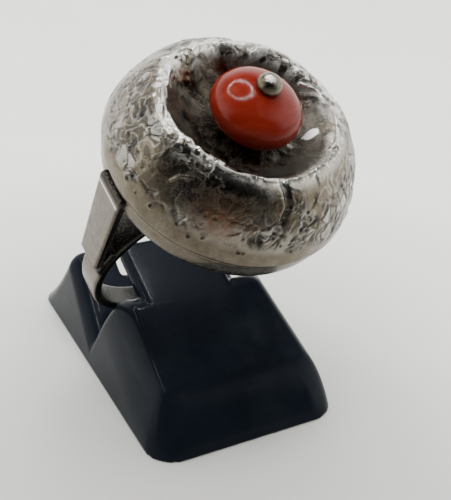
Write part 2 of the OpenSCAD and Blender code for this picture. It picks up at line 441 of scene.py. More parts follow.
def silver_material(name, rough, pits, scratches):
    """Silver with dark oxide, painted shade and painted dark reflections, rust, and polished places and painted
    highlights where the mesh marks them, broken up by noise.

    Roughness is rough where it is clean, and pits and scratches are that deep in mm.
    """
    m = Nodes(bpy.data.materials.new(name))
    cloud = m.noise(0.55, 4, 0.6)
    grain = m.noise(4.5, 3, 0.6)
    fine = m.noise(14, 2, 0.5)
    polish_and_highlight = m.mark("polish_and_highlight")
    oxide_and_shade = m.math("ADD", m.mark("oxide_and_shade"), m.remap(grain, 0.3, 0.7, -0.16, 0.16))
    oxide_and_shade = m.math("ADD", oxide_and_shade, m.remap(cloud, 0.35, 0.65, -0.06, 0.08))
    bare = m.mix(m.remap(cloud, 0.3, 0.7), SILVER_DULL, SILVER_CLEAN)
    colour = m.mix(1.0, bare, m.ramp(oxide_and_shade, *OXIDE_TINTS), "MULTIPLY")
    blot = m.remap(m.noise(1.3, 5, 0.7), 0.42, 0.68, 0, 0.45)
    colour = m.mix(blot, colour, BLOT_TINT, "MULTIPLY")
    # Polished places, and painted highlights where the mark is above 1, lighten the colour
    polished = m.math("MULTIPLY", polish_and_highlight, m.remap(grain, 0.35, 0.6, 0.5, 1.0))
    colour = m.mix(polished, colour, POLISH_AND_HIGHLIGHT_COLOUR)
    rust = m.math("MULTIPLY", m.mark("rust"), m.remap(m.noise(1.6, 4, 0.65), 0.35, 0.7, 0.1, 1.0))
    colour = m.mix(rust, colour, RUST_COLOUR)
    # Where the polish and highlight mark is above 1 it is a painted highlight, pale more than a mirror, and
    # deep oxide is only half metallic
    metallic = m.math("MULTIPLY", m.remap(oxide_and_shade, 0.35, 0.75, 1.0, 0.45), m.remap(polish_and_highlight, 1.0, 2.0, 1.0, 0.2))
    oxide_rough = m.remap(oxide_and_shade, 0.0, 1.0, rough, rough + 0.14)
    roughness = m.math("ADD", oxide_rough, m.remap(fine, 0.3, 0.7, -0.03, 0.05))
    normal = m.bump(m.remap(m.noise(7, 4, 0.65, 0.3), 0.3, 0.7), pits)
    normal = m.bump(m.remap(m.noise((1.5, 30, 30), 2, 0.5), 0.35, 0.65), scratches, normal=normal)
    m.set(Base_Color=colour, Metallic=metallic, Roughness=roughness, Normal=normal)
    return m.owner


def coral_material():
    m = Nodes(bpy.data.materials.new("coral"))
    streak = m.noise((0.25, 0.25, 1.4), 4, 0.6, 0.6)
    patch = m.noise(0.38, 2, 0.5, 0.4)
    fleck = m.noise(3.2, 3, 0.6)
    colour = m.mix(m.remap(streak, 0.42, 0.62), CORAL_DEEP, CORAL_LIGHT)
    colour = m.mix(m.remap(patch, 0.56, 0.76, 0, 0.4), colour, CORAL_PATCH)
    colour = m.mix(m.remap(fleck, 0.62, 0.78, 0, 0.12), colour, CORAL_FLECK)
    m.set(Base_Color=colour, IOR=1.26)
    m.set(Subsurface_Weight=0.12, Subsurface_Scale=0.0012, Subsurface_Radius=(1.0, 0.3, 0.15))
    m.set(Roughness=m.remap(m.noise(1.2, 3), 0.35, 0.65, 0.08, 0.15))
    m.set(Normal=m.bump(m.noise(1.1, 2), 0.012))
    return m.owner


def plastic_material():
    m = Nodes(bpy.data.materials.new("stand_plastic"))
    cloud = m.noise(0.25, 3, 0.5)
    dust = m.noise(9, 3, 0.7)
    smear = m.noise(0.11, 5, 0.6)
    colour = m.mix(m.remap(cloud, 0.35, 0.65), PLASTIC_DARK, PLASTIC_LIGHT)
    colour = m.mix(m.remap(dust, 0.66, 0.80, 0, 0.30), colour, DUST_COLOUR)
    colour = m.mix(m.remap(smear, 0.52, 0.75, 0, 0.5), colour, SMEAR_COLOUR)
    m.set(Base_Color=colour, IOR=1.1, Coat_Weight=0.25, Coat_IOR=1.2, Coat_Roughness=0.05)
    m.set(Roughness=m.remap(m.noise(0.6, 4, 0.6), 0.35, 0.65, 0.2, 0.28))
    m.set(Normal=m.bump(m.noise(0.35, 3, 0.5), 0.02, 0.5))
    return m.owner


SILVER_WORN = silver_material("silver_worn", rough=0.07, pits=0.008, scratches=0.003)
SILVER_POLISHED = silver_material("silver_polished", rough=0.10, pits=0.008, scratches=0.004)
CORAL = coral_material()
PLASTIC = plastic_material()


# The worn dome and its crater, in mm in the ring's own frame, whose z axis is the head's
HEAD_R, HEAD_H, WIDEST_Z, DOME_POWER = 12.6, 7.3, 0.3, 1.56
# The dome's profile before it is fitted to the rim: the crest's radius, and how far it spreads and rises
PROFILE_R, PROFILE_WIDE, PROFILE_TALL = 8.45, 4.15, 7.0
FLOOR_R, FLOOR_Z, CRATER_SHIFT, BOSS_R = 4.2, 4.35, 0.4, 0.62
# The crater's rim: angles in degrees and radii in mm
RIM_ANGLES = [
    -168, -158, -144, -131, -119, -105, -91, -71, -50, -36, -18, -5,
    9, 25, 42, 55, 72, 89, 103, 120, 131, 150, 165, 178,
]
RIM_RADII = [
    9.13, 8.25, 8.07, 8.26, 8.22, 8.03, 7.9, 7.72, 7.95, 7.94, 8.06, 8.16,
    8.02, 7.77, 8.02, 7.89, 7.41, 7.73, 7.95, 7.84, 8.58, 8.61, 9.06, 8.99,
]
RIM_WINDOW, RIM_SCALE, RIM_OUT = 25, 1.017, 0.12
# Heights and radii of the rows that turn in under the seam
EDGE_ROWS = ((-0.25, 11.4), (-0.25, 12.05), (-0.12, 12.3), (0.0, 12.42), (0.15, 12.55))
DOME_COLUMNS, OUTER_ROWS, WALL_ROWS, FLOOR_ROWS, PROFILE_STEP = 690, 72, 44, 14, 0.02
# A row's place past the crest: mm below 0 outside, then 0 to 5 down the crater's wall and 5 to 9 over its floor
LOWER_EDGE, WALL_SPAN, FLOOR_SPAN = -9.0, 5, 4

# Ridges and cracks, each a height and a width in mm and a line in the ring's own frame
LINES = [
    (0.26, 0.17, [
        (-5.9, 6.6, 7.2), (-6.3, 5.6, 7.2), (-7.1, 4.7, 7.2), (-7.5, 4.1, 7.2), (-8.5, 3.8, 6.9),
        (-8.8, 3.1, 6.9), (-9.0, 2.1, 7.0), (-8.8, 1.3, 7.2), (-9.0, 0.6, 7.1), (-9.0, -0.7, 7.1),
        (-8.8, -1.7, 7.1), (-8.4, -2.3, 7.2),
    ]),
    (0.22, 0.15, [
        (-7.1, 4.7, 7.2), (-7.4, 4.1, 7.2), (-7.8, 3.0, 7.1), (-8.5, 2.0, 7.2), (-8.4, 1.3, 7.2),
        (-8.3, 0.5, 7.1), (-8.3, -0.7, 7.1), (-8.2, -1.5, 7.1), (-8.2, -2.5, 7.2),
    ]),
    (0.16, 0.15, [
        (-8.8, 3.1, 6.9), (-9.3, 3.3, 6.4), (-9.9, 3.4, 5.7), (-10.3, 3.2, 5.3), (-10.6, 3.0, 4.9),
        (-10.9, 2.8, 4.6), (-11.3, 2.8, 3.8),
    ]),
    (0.14, 0.14, [
        (-6.5, 6.1, 7.2), (-7.3, 6.1, 6.8), (-7.7, 6.4, 6.3), (-8.1, 6.9, 5.5), (-8.2, 7.5, 4.8),
        (-8.5, 7.7, 4.1), (-8.8, 7.6, 3.8),
    ]),
    (-0.20, 0.13, [
        (-7.6, 4.9, 7.1), (-8.0, 5.4, 6.6), (-8.1, 6.4, 5.9), (-8.4, 6.6, 5.4), (-9.0, 6.6, 4.7),
        (-9.2, 6.8, 4.2),
    ]),
    (-0.26, 0.16, [(-10.9, 0.3, 5.2), (-10.5, -0.2, 5.7), (-10.0, -0.5, 6.2), (-9.8, -0.6, 6.5)]),
    (0.12, 0.13, [
        (-11.0, 0.0, 5.0), (-10.5, -0.9, 5.6), (-10.1, -1.2, 6.0), (-9.8, -1.2, 6.4), (-9.5, -1.3, 6.7),
    ]),
    (-0.16, 0.13, [(-11.6, -0.1, 3.7), (-12.0, -0.5, 2.8)]),
    (-0.18, 0.12, [(-10.1, 3.0, 5.5), (-10.5, 2.8, 5.0), (-10.8, 2.5, 4.6), (-11.2, 2.4, 3.9)]),
    (0.20, 0.16, [
        (-8.0, -3.1, 7.2), (-7.7, -3.9, 7.2), (-7.4, -4.5, 7.2), (-6.9, -5.3, 7.2), (-6.0, -6.3, 7.2),
        (-4.6, -6.9, 7.1), (-3.6, -7.6, 7.2), (-2.3, -7.9, 7.2),
    ]),
    (0.15, 0.14, [(-2.0, -8.4, 7.3), (-1.1, -8.9, 7.1), (-0.6, -9.1, 7.0)]),
    (-0.30, 0.28, [
        (-2.1, -7.9, 7.2), (-2.0, -8.9, 7.0), (-2.0, -9.6, 6.5), (-1.9, -10.0, 6.1), (-2.4, -10.7, 5.0),
    ]),
    (0.13, 0.10, [(-1.6, -10.2, 5.9), (-0.6, -10.0, 6.2)]),
    (0.20, 0.18, [(6.7, 2.2, 6.7), (7.5, 1.2, 7.1), (7.8, 0.4, 7.2), (7.8, -0.5, 7.2)]),
    (0.24, 0.16, [
        (7.3, -0.6, 7.0), (7.9, -0.8, 7.3), (7.8, -1.9, 7.3), (7.4, -3.1, 7.3), (6.6, -4.5, 7.3),
        (5.8, -5.5, 7.2), (5.1, -5.7, 7.1),
    ]),
    (-0.24, 0.18, [(6.6, 3.0, 6.3), (7.4, 2.6, 6.9), (8.0, 2.4, 7.2)]),
    (-0.22, 0.16, [(7.9, -0.5, 7.2), (8.5, -0.6, 7.1), (9.1, -0.4, 6.7)]),
    (0.12, 0.10, [(-7.6, 2.8, 7.0), (-6.8, 2.6, 6.3), (-6.2, 2.4, 5.6), (-5.8, 2.4, 5.3)]),
    (0.13, 0.11, [(-9.7, -2.4, 6.3), (-9.9, -2.4, 6.0), (-10.2, -2.3, 5.7), (-10.0, -2.8, 5.8)]),
    (0.13, 0.12, [(-11.4, -2.9, 3.4), (-11.1, -2.9, 4.2), (-10.7, -3.0, 4.8), (-10.2, -3.0, 5.6)]),
    (0.12, 0.09, [(-9.1, -3.7, 6.4), (-8.9, -4.5, 6.3)]),
    (0.10, 0.14, [(-10.3, -4.1, 4.8), (-9.8, -4.3, 5.4), (-9.1, -5.0, 5.9)]),
    (-0.20, 0.20, [(-10.3, -6.0, 3.1), (-10.2, -6.8, 2.3), (-9.8, -6.9, 3.0)]),
    (-0.18, 0.14, [(-11.7, -2.5, 3.0), (-11.5, -3.4, 2.9), (-11.2, -3.9, 3.2)]),
    (-0.22, 0.16, [(1.6, -8.3, 7.3), (1.7, -9.3, 6.8)]),
    (-0.20, 0.14, [(5.7, -7.9, 6.5), (6.5, -8.1, 5.9)]),
    (-0.20, 0.14, [(4.6, -9.0, 6.2), (6.3, -9.6, 4.0), (5.8, -10.1, 3.8)]),
    (-0.20, 0.13, [(1.1, -10.1, 6.1), (0.5, -10.6, 5.6)]),
    (-0.20, 0.16, [(0.2, -10.9, 5.1), (0.6, -11.1, 4.8)]),
    (-0.20, 0.14, [(-0.3, -11.1, 4.8), (-0.1, -11.4, 4.3), (-0.5, -11.5, 4.0)]),
    (-0.20, 0.16, [(-1.0, -11.8, 3.4), (-1.3, -11.8, 3.1)]),
    (-0.20, 0.16, [(-1.1, -12.1, 2.5), (-1.7, -12.1, 2.2), (-1.0, -12.3, 2.0)]),
    (-0.18, 0.14, [(-4.7, -10.6, 3.9), (-4.1, -10.9, 3.7), (-3.2, -11.2, 3.6)]),
    (-0.16, 0.13, [(-5.8, -10.0, 3.9), (-5.8, -10.4, 3.2)]),
]
# Small round pits with a raised edge: middle, radius and depth
PITS = [
    ((-11.9, 1.5, 2.9), 0.42, 0.10), ((-11.3, 1.5, 4.2), 0.36, 0.12), ((-12.2, -1.3, 2.1), 0.34, 0.14),
    ((-5.9, -10.8, 1.8), 0.22, 0.10), ((-5.5, -11.0, 1.8), 0.18, 0.10), ((-11.5, -4.4, 1.9), 0.22, 0.16),
    ((-12.1, -2.7, 1.7), 0.16, 0.14), ((-9.5, -8.0, 1.7), 0.2, 0.14), ((-8.6, -8.7, 2.2), 0.22, 0.14),
]
# Raised patches in the crater: middle, radius, height and how dark they are
PATCHES = [((-4.9, 6.1, 6.6), 1.6, 0.16, 0.3), ((6.4, 0.8, 5.9), 1.0, 0.03, 0.1)]


def away_from(points, line):
    """Distance from each point to a line of points, FAR where it is over 1 mm off the line's box."""
    line = np.array(line, float)
    out = np.full(len(points), FAR)
    near = np.all((points > line.min(0) - 1) & (points < line.max(0) + 1), axis=1)
    p = points[near]
    best = out[near]
    for a, b in zip(line[:-1], line[1:]):
        t = np.clip((p - a) @ (b - a) / ((b - a) @ (b - a)), 0, 1)
        best = np.minimum(best, np.linalg.norm(p - a - t[:, None] * (b - a), axis=1))
    out[near] = best
    return out


def rim_radii(a):
    """The rim's radius at each angle in radians, smoothed along the rim."""
    before, after = np.array(RIM_ANGLES[-3:]) - 360, np.array(RIM_ANGLES[:3]) + 360
    angles = np.radians(np.r_[before, RIM_ANGLES, after])
    radii = np.r_[RIM_RADII[-3:], RIM_RADII, RIM_RADII[:3]]
    rim = np.interp(a, angles, radii)
    window = np.hanning(RIM_WINDOW)
    wrap = RIM_WINDOW - 1
    rim = np.convolve(np.r_[rim[-wrap:], rim, rim[:wrap]], window / window.sum(), "same")
    return rim[wrap:-wrap] * RIM_SCALE + RIM_OUT


def dome_row(a, r, z, shift=0.0):
    return np.stack([r * np.cos(a) - shift, r * np.sin(a), z + 0 * a], -1)


def dome_rows():
    """The dome's form without relief: points by row and column, and each row's place past the crest."""
    a = np.linspace(-math.pi, math.pi, DOME_COLUMNS, endpoint=False)
    rim = rim_radii(a)
    circle = np.stack([np.cos(a), np.sin(a), np.full_like(a, 0.7)], -1)
    crest = HEAD_H - 0.05 + 0.10 * noise(circle * 3.1, 5) + 0.06 * noise(circle * 8, 6)
    k = 2 / DOME_POWER
    t = np.radians(np.linspace(0, 90, 400))
    spread, climb = PROFILE_WIDE * np.cos(t) ** k, PROFILE_TALL * np.sin(t) ** k
    outer = evenly(np.stack([PROFILE_R + spread, WIDEST_Z + climb], -1), PROFILE_STEP)
    share_r = (outer[:, 0] - PROFILE_R) / PROFILE_WIDE
    share_z = (outer[:, 1] - WIDEST_Z) / PROFILE_TALL
    rows = [dome_row(a, r, z) for z, r in EDGE_ROWS]
    past = [LOWER_EDGE] * len(EDGE_ROWS)
    for i in np.linspace(0, len(outer) - 1, OUTER_ROWS).round().astype(int):
        r = rim + (HEAD_R - rim) * share_r[i]
        z = WIDEST_Z + (crest - WIDEST_Z) * share_z[i]
        rows.append(dome_row(a, r, z))
        past.append(-(len(outer) - 1 - i) * PROFILE_STEP)
    for q in np.linspace(0, 1, WALL_ROWS)[1:]:
        r = rim + (FLOOR_R - rim) * q
        z = crest + (FLOOR_Z - crest) * smooth(q ** 0.85)
        rows.append(dome_row(a, r, z, CRATER_SHIFT * q))
        past.append(q * WALL_SPAN)
    for q in np.linspace(0, 1, FLOOR_ROWS)[1:]:
        r = FLOOR_R + (BOSS_R - FLOOR_R) * q
        rows.append(dome_row(a, r, FLOOR_Z, CRATER_SHIFT * (1 - q)))
        past.append(WALL_SPAN + q * FLOOR_SPAN)
    return np.stack(rows), np.array(past)


def grid_normals(grid):
    along = np.roll(grid, -1, 1) - np.roll(grid, 1, 1)
    up = np.gradient(grid, axis=0)
    n = np.cross(along, up)
    return n / np.maximum(np.linalg.norm(n, axis=-1, keepdims=True), 1e-9)


class Zones:
    """How much of each kind of surface the dome has at each point, from 0 to 1."""

    def __init__(self, p, past):
        self.past = past
        self.angle = angle = np.degrees(np.arctan2(p[:, 1], p[:, 0]))
        self.crater = smooth(past, 0.3, 1.9)
        strip = 0.9 + 1.5 * within(angle, -125, 25, 60) + 0.9 * within(np.abs(angle), 178, 8, 30)
        strip = strip + 0.35 * noise(p / 1.3, 3)
        self.worked = np.maximum(smooth(p[:, 2], strip - 0.5, strip + 0.7), self.crater)
        self.outside = self.worked * (1 - self.crater)
        # The dark zone low on the near side: partly oxide, partly a painted dark reflection
        rise = 0.045 * (angle + 165)
        dark = within(angle, -122, 40, 54) * smooth(p[:, 2], 2.1 + rise, 3.4 + rise)
        self.dark = dark * (1 - smooth(past, -2.2, -1.0))
        self.calm = below(noise(p / 2.6 + 5, 82), -0.25, 0.25)
        self.bare_wall = within(angle, 8, 35, 75)
        self.soft_edge = within(angle, -85, 45, 62) * smooth(past, -2.6, -1.2) * (1 - self.crater)
        self.far_rim = within(angle, 60, 62, 88)
        self.left = smooth(np.abs(angle), 105, 135)


class Patterns:
    """The noise that the dome's relief and marks are made of."""

    def __init__(self, p):
        r = np.hypot(p[:, 0], p[:, 1])
        around = np.stack([-p[:, 1], p[:, 0], 0 * r], -1) / np.maximum(r, 1)[:, None]
        self.warped = q = p + 0.55 * np.stack([noise(p / 1.6 + 9 * k, 20 + k) for k in range(3)], -1)
        self.squeezed = squeezed = q - 0.45 * ((q * around).sum(1)[:, None] * around)
        self.broad = layered(p / 3.4, 30, 2)
        self.wrinkle = 1 - 2 * np.abs(noise(squeezed / 1.05, 40))
        self.fine_wrinkle = 1 - 2 * np.abs(noise(squeezed / 0.5 + 3, 41))
        self.grain = layered(q / 0.42, 42, 2)
        cracked = smooth(noise(p / 2.2, 51), -0.05, 0.3)
        self.crack = bell(noise(squeezed / 1.25 + 30, 50), 0.085) * cracked
        near, second, own = cells(squeezed / 1.15, 60)
        self.plate = (own - 0.5) * smooth(second - near, 0.02, 0.16)
        self.seam = bell(second - near, 0.10)
        near, second, own = cells(q / 0.62 + 40, 61)
        self.pit = below(near, 0.16, 0.34) * (own > 0.62) * smooth(noise(p / 1.9 + 8, 62), -0.1, 0.25)
        self.crazed = bell(second - near, 0.09)


def dome_height(p, zone, f):
    """The random part of the relief, in mm along the normals."""
    height = 0.10 * f.broad + zone.worked * (0.018 * f.wrinkle + 0.008 * f.fine_wrinkle + 0.004 * f.grain)
    plates = 0.085 * f.plate * (1 - 0.5 * zone.dark) - 0.04 * f.seam * (1 - 0.6 * zone.dark)
    height += zone.outside * plates * zone.calm
    height -= zone.outside * (0.12 * f.crack * (1 - 0.5 * zone.dark) + 0.11 * f.pit * (1 - 0.4 * zone.dark))
    height += zone.worked * zone.dark * (-0.012 * f.crazed)
    dented = 0.06 * layered(f.warped / 1.7, 70, 2) - 0.02 * f.crazed * smooth(noise(p / 1.5, 83), -0.2, 0.3)
    return height + zone.crater * (dented * (1 - 0.7 * zone.bare_wall) - 0.04)


def dome_oxide(p, zone, f):
    """The random part of the oxide, from 0 to 1 where it is not cut off."""
    stain = smooth(layered(f.squeezed / 0.9, 85, 3), 0.0, 0.4) * smooth(noise(p / 2.4, 86), -0.25, 0.2)
    low = 0.4 * np.clip(-f.plate * 2, 0, 1) * zone.calm
    oxide_and_shade = 0.04 + zone.outside * (0.75 * f.seam * zone.calm + 1.1 * f.crack + f.pit + low + 0.55 * stain)
    # The dark zone adds oxide and painted dark reflection
    oxide_and_shade = oxide_and_shade + 0.32 * zone.dark + zone.dark * 0.25 * noise(p / 0.9, 80)
    wall = (0.47 + 0.32 * noise(p / 1.1, 84) + 0.25 * f.crazed) * (1 - zone.bare_wall)
    wall = wall + zone.bare_wall * (0.62 + 0.35 * noise(p / 1.6, 87))
    return np.maximum(oxide_and_shade, zone.crater * wall)


def dome_rust(p, zone):
    """One rusty place under the dark zone and stains in the crater's left half."""
    rust = 0.9 * bell(away(p, (-7.4, -8.6, 4.1), (2.3, 2.3, 1.5)), 1.0)
    return rust + zone.crater * 0.5 * smooth(noise(p / 1.8 + 4, 81), -0.1, 0.4) * below(p[:, 0], -4, 2)


def dome_shine(p, zone, f, oxide_and_shade):
    """Polished wrinkles, plates and a strip above the seam."""
    lit = 1 - zone.dark
    polish_and_highlight = 0.35 * zone.worked * smooth(f.wrinkle, 0.75, 1.0) * lit * (1 - zone.crater)
    polish_and_highlight = np.maximum(polish_and_highlight, 0.45 * zone.outside * smooth(f.plate, 0.15, 0.4) * zone.calm * lit)
    strip = within(p[:, 2], 3.0, 0.6, 1.4) * within(zone.angle, -122, 24, 34)
    return np.maximum(polish_and_highlight, 0.22 * strip * (1 - np.clip(oxide_and_shade, 0, 1)))


def with_rim_edges(p, zone, height, oxide_and_shade, polish_and_highlight):
    """Softens the near edge of the rim, and sets painted highlights and dark spots along its far edge."""
    height = height * (1 - 0.8 * zone.soft_edge)
    oxide_and_shade = oxide_and_shade * (1 - 0.9 * zone.soft_edge)
    polish_and_highlight = np.maximum(polish_and_highlight, 0.4 * zone.soft_edge * smooth(zone.past, -1.3, -0.4))
    # Painted highlights along the far rim
    rim_highlight = smooth(noise(p / 1.1, 97), -0.1, 0.1) * bell(zone.past, 1.0, -0.15) * zone.far_rim
    polish_and_highlight = np.maximum(polish_and_highlight, 1.6 * rim_highlight)
    spots = zone.far_rim * (1 - rim_highlight) * (0.7 + 0.5 * noise(p / 0.8, 99)) * bell(zone.past, 0.7, 0.9)
    return height, oxide_and_shade * (1 - 0.95 * rim_highlight) + spots, polish_and_highlight


def with_placed_forms(p, height, oxide_and_shade, polish_and_highlight):
    """Adds the ridges, cracks, pits and patches that are placed one by one."""
    for tall, wide, line in LINES:
        d = away_from(p, line)
        shape = bell(d, wide)
        height = height + tall * shape
        if tall > 0:
            # Raised ridges are polished, with a painted highlight along them
            polish_and_highlight = np.maximum(polish_and_highlight, 1.8 * shape * smooth(tall, 0.08, 0.24))
            oxide_and_shade = np.clip(oxide_and_shade, 0, 1) * (1 - 0.95 * shape)
        else:
            oxide_and_shade = np.maximum(oxide_and_shade, 0.95 * bell(d, wide * 1.1))
    for middle, radius, deep in PITS:
        d = away(p, middle) / radius
        height = height + deep * (0.5 * bell(d, 0.3, 1.15) - below(d, 0.5, 1.0))
        oxide_and_shade = np.maximum(oxide_and_shade, 0.75 * bell(d, 0.28, 0.8))
    for middle, radius, tall, shade in PATCHES:
        d = away(p, middle) / radius + 0.3 * noise(p / 0.6, 90)
        inside = below(d, 0.6, 1.1)
        height = height + tall * inside
        oxide_and_shade = oxide_and_shade * (1 - inside) + shade * inside
    return height, oxide_and_shade, polish_and_highlight


def with_polish(p, zone, height, oxide_and_shade, polish_and_highlight):
    """Adds a painted highlight on the crater's right wall, and the polish along the crest with a painted
    highlight on it.
    """
    # A painted highlight on the crater's right wall
    spot = away(p, (5.35, -2.9, 5.6), (0.95, 0.5, 0.8)) + 0.15 * noise(p / 0.5, 98)
    spot = below(spot, 0.8, 1.05) * zone.crater
    oxide_and_shade = oxide_and_shade * (1 - spot)
    polish_and_highlight = polish_and_highlight * (1 - spot) + 2 * spot
    polish = bell(zone.past + 0.1 + 0.3 * noise(p / 0.8, 96), 0.5) * (zone.past < 4.9)
    oxide_and_shade = oxide_and_shade * (1 - 0.9 * polish) + 0.25 * polish * smooth(height, 0.0, -0.12)
    # Polish along the crest with a painted highlight, stronger on the left
    crest = (0.8 + 0.9 * zone.left) * polish * smooth(noise(p / 0.5, 95), -0.25, 0.15)
    return oxide_and_shade, np.maximum(polish_and_highlight, crest)


def dome():
    grid, past = dome_rows()
    columns = grid.shape[1]
    p = grid.reshape(-1, 3)
    n = grid_normals(grid).reshape(-1, 3)
    past = np.repeat(past, columns)
    zone, f = Zones(p, past), Patterns(p)
    height = dome_height(p, zone, f)
    oxide_and_shade = dome_oxide(p, zone, f)
    rust = dome_rust(p, zone)
    polish_and_highlight = dome_shine(p, zone, f, oxide_and_shade)
    height, oxide_and_shade, polish_and_highlight = with_rim_edges(p, zone, height, oxide_and_shade, polish_and_highlight)
    height, oxide_and_shade, polish_and_highlight = with_placed_forms(p, height, oxide_and_shade, polish_and_highlight)
    oxide_and_shade, polish_and_highlight = with_polish(p, zone, height, oxide_and_shade, polish_and_highlight)
    # No relief at the lower edge, nor on the floor under the bead
    height *= smooth(past, -8.95, -8.2) * (1 - smooth(past, 6.5, 7.5)) * (past > LOWER_EDGE)
    oxide_and_shade = np.where(past < -8.9, 0.9, np.clip(oxide_and_shade, 0, 1))
    p = p + n * height[:, None]
    points, faces = capped(p, columns, (0, 0, EDGE_ROWS[0][0]), p[-columns:].mean(0))
    marks = {"oxide_and_shade": np.r_[oxide_and_shade, 0.9, 0.9], "rust": np.r_[rust, 0, 0], "polish_and_highlight": np.r_[polish_and_highlight, 0, 0]}
    piece("head_dome", seated(points), faces, "silver_ring", SILVER_WORN, marks)


# The cup under the seam: its depth, the power of its superellipse, its radius, and the points of its top
CUP_DEEP, CUP_POWER, CUP_R, CUP_STEP, CUP_COLUMNS = 4.3, 3.8, 12.22, 0.12, 480
CUP_TOP = [[12.0, 0.05], [11.2, 0.1]]
CUP_DENT = (-11.0, -6.1, -0.6)


def cup():
    """The polished cup under the seam, with the thin lip that runs round it."""
    t = np.radians(np.linspace(0, 90, 300))
    k = 2 / CUP_POWER
    line = evenly(np.stack([CUP_R * np.sin(t) ** k, -CUP_DEEP * np.cos(t) ** k], -1), CUP_STEP)
    line[:, 0] += 0.05 * bell(line[:, 1], 0.10, -0.42) - 0.06 * bell(line[:, 1], 0.10, -0.08)
    line = np.vstack([line[2:], CUP_TOP])
    p = revolved(line, CUP_COLUMNS)
    n = p / np.linalg.norm(p, axis=1, keepdims=True)
    dent = away(p, CUP_DENT)
    bump = 0.03 * layered(p / 3.0, 100, 2) - 0.10 * bell(dent, 0.28)
    p = p + n * (bump * below(p[:, 2], -0.6, 0.0))[:, None]
    oxide_and_shade = 0.10 + 0.75 * bell(p[:, 2], 0.14) + 0.7 * bell(dent, 0.26)
    # A painted dark reflection of the stand: a dark place low on the near side, with an edge that rises to its
    # left and right
    angle = np.degrees(np.arctan2(p[:, 1], p[:, 0]))
    edge = 2.1 * np.maximum(np.maximum((-122 - angle) / 14, (angle + 97) / 5), 0)
    low = smooth(-p[:, 2] - edge + 0.2 * noise(p / 1.5, 101), 0.05, 0.35)
    oxide_and_shade = np.maximum(oxide_and_shade, low * (0.88 + 0.2 * noise(p / 0.5, 102)))
    points, faces = capped(p, CUP_COLUMNS, (0, 0, line[0, 1]), (0, 0, line[-1, 1]))
    marks = {"oxide_and_shade": np.r_[oxide_and_shade, 0.1, 0.1], "rust": np.zeros(len(points))}
    piece("back_cup", seated(points), faces, "silver_ring", SILVER_POLISHED, marks)


# The band round the finger hole and the straps from it to the cup
HOLE_Z, HOLE_R, BAND_T = -15.15, 9.95, 1.05
BAND_R = HOLE_R + BAND_T
BAND_HALF, BAND_HALF_LOW, BAND_NARROWS = 1.7, 1.15, 12
STRAP_X, STRAP_Z, STRAP_LEAN = 12.65, -1.25, math.radians(3.3)
STRAP_LONG, STRAP_HALF, STRAP_HALF_LOW, STRAP_HALF_T, ROLL_R = 11.4, 2.05, 1.675, 0.475, 0.5
# The strap's foot lies on the band between these angles in degrees, and thickens after the first
FOOT_FROM, FOOT_TO, FOOT_RISE, FOOT_OUT, FOOT_HALF = 4.5, 24, 3.5, 0.5, 1.66
BAND_BOX, BAND_STEP = ((-13.4, -2.5, -26.6), (13.4, 2.5, 0.2)), 0.135


def strap_frame(p):
    """How far each point is outside a strap's outer face, and how far up along the strap."""
    x, z = np.abs(p[:, 0]) - STRAP_X, p[:, 2] - STRAP_Z
    lean_x, lean_z = math.cos(STRAP_LEAN), math.sin(STRAP_LEAN)
    return x * lean_x - z * lean_z, x * lean_z + z * lean_x


def band_solid(p):
    x, y, z = np.abs(p[:, 0]), np.abs(p[:, 1]), p[:, 2] - HOLE_Z
    r = np.hypot(x, z)
    narrow = BAND_HALF_LOW + (BAND_HALF - BAND_HALF_LOW) * (1 + z / BAND_NARROWS)
    half = np.where(z < 0, narrow, BAND_HALF)
    band = both(np.abs(r - HOLE_R - BAND_T / 2) - BAND_T / 2, y - half, 0.28)
    angle = np.degrees(np.arctan2(z, x))
    foot_r = BAND_R + FOOT_OUT * np.clip((angle - FOOT_FROM) / FOOT_RISE, 0, 1)
    ends = np.maximum((FOOT_FROM - angle) * 0.19, (angle - FOOT_TO) * 0.19)
    foot = both(both(r - foot_r, y - FOOT_HALF, 0.2), ends, 0.1)
    foot = np.maximum(foot, BAND_R - 0.5 - r)
    u, v = strap_frame(p)
    wide = STRAP_HALF + (STRAP_HALF_LOW - STRAP_HALF) * np.clip(-v / STRAP_LONG, 0, 1)
    plate = both(np.abs(u + STRAP_HALF_T) - STRAP_HALF_T, y - wide, 0.26)
    plate = both(plate, np.maximum(v, -STRAP_LONG - v), 0.14)
    roll = both(np.hypot(u + 0.5, v + 0.02) - ROLL_R, y - 2.0, 0.2)
    fold = both(np.maximum(np.abs(u + 0.93) - 0.09, np.abs(v) - 0.55), y - 1.75, 0.05)
    strap = np.minimum(either(plate, roll, 0.10), fold)
    return either(either(band, foot, 0.06), strap, 0.16)


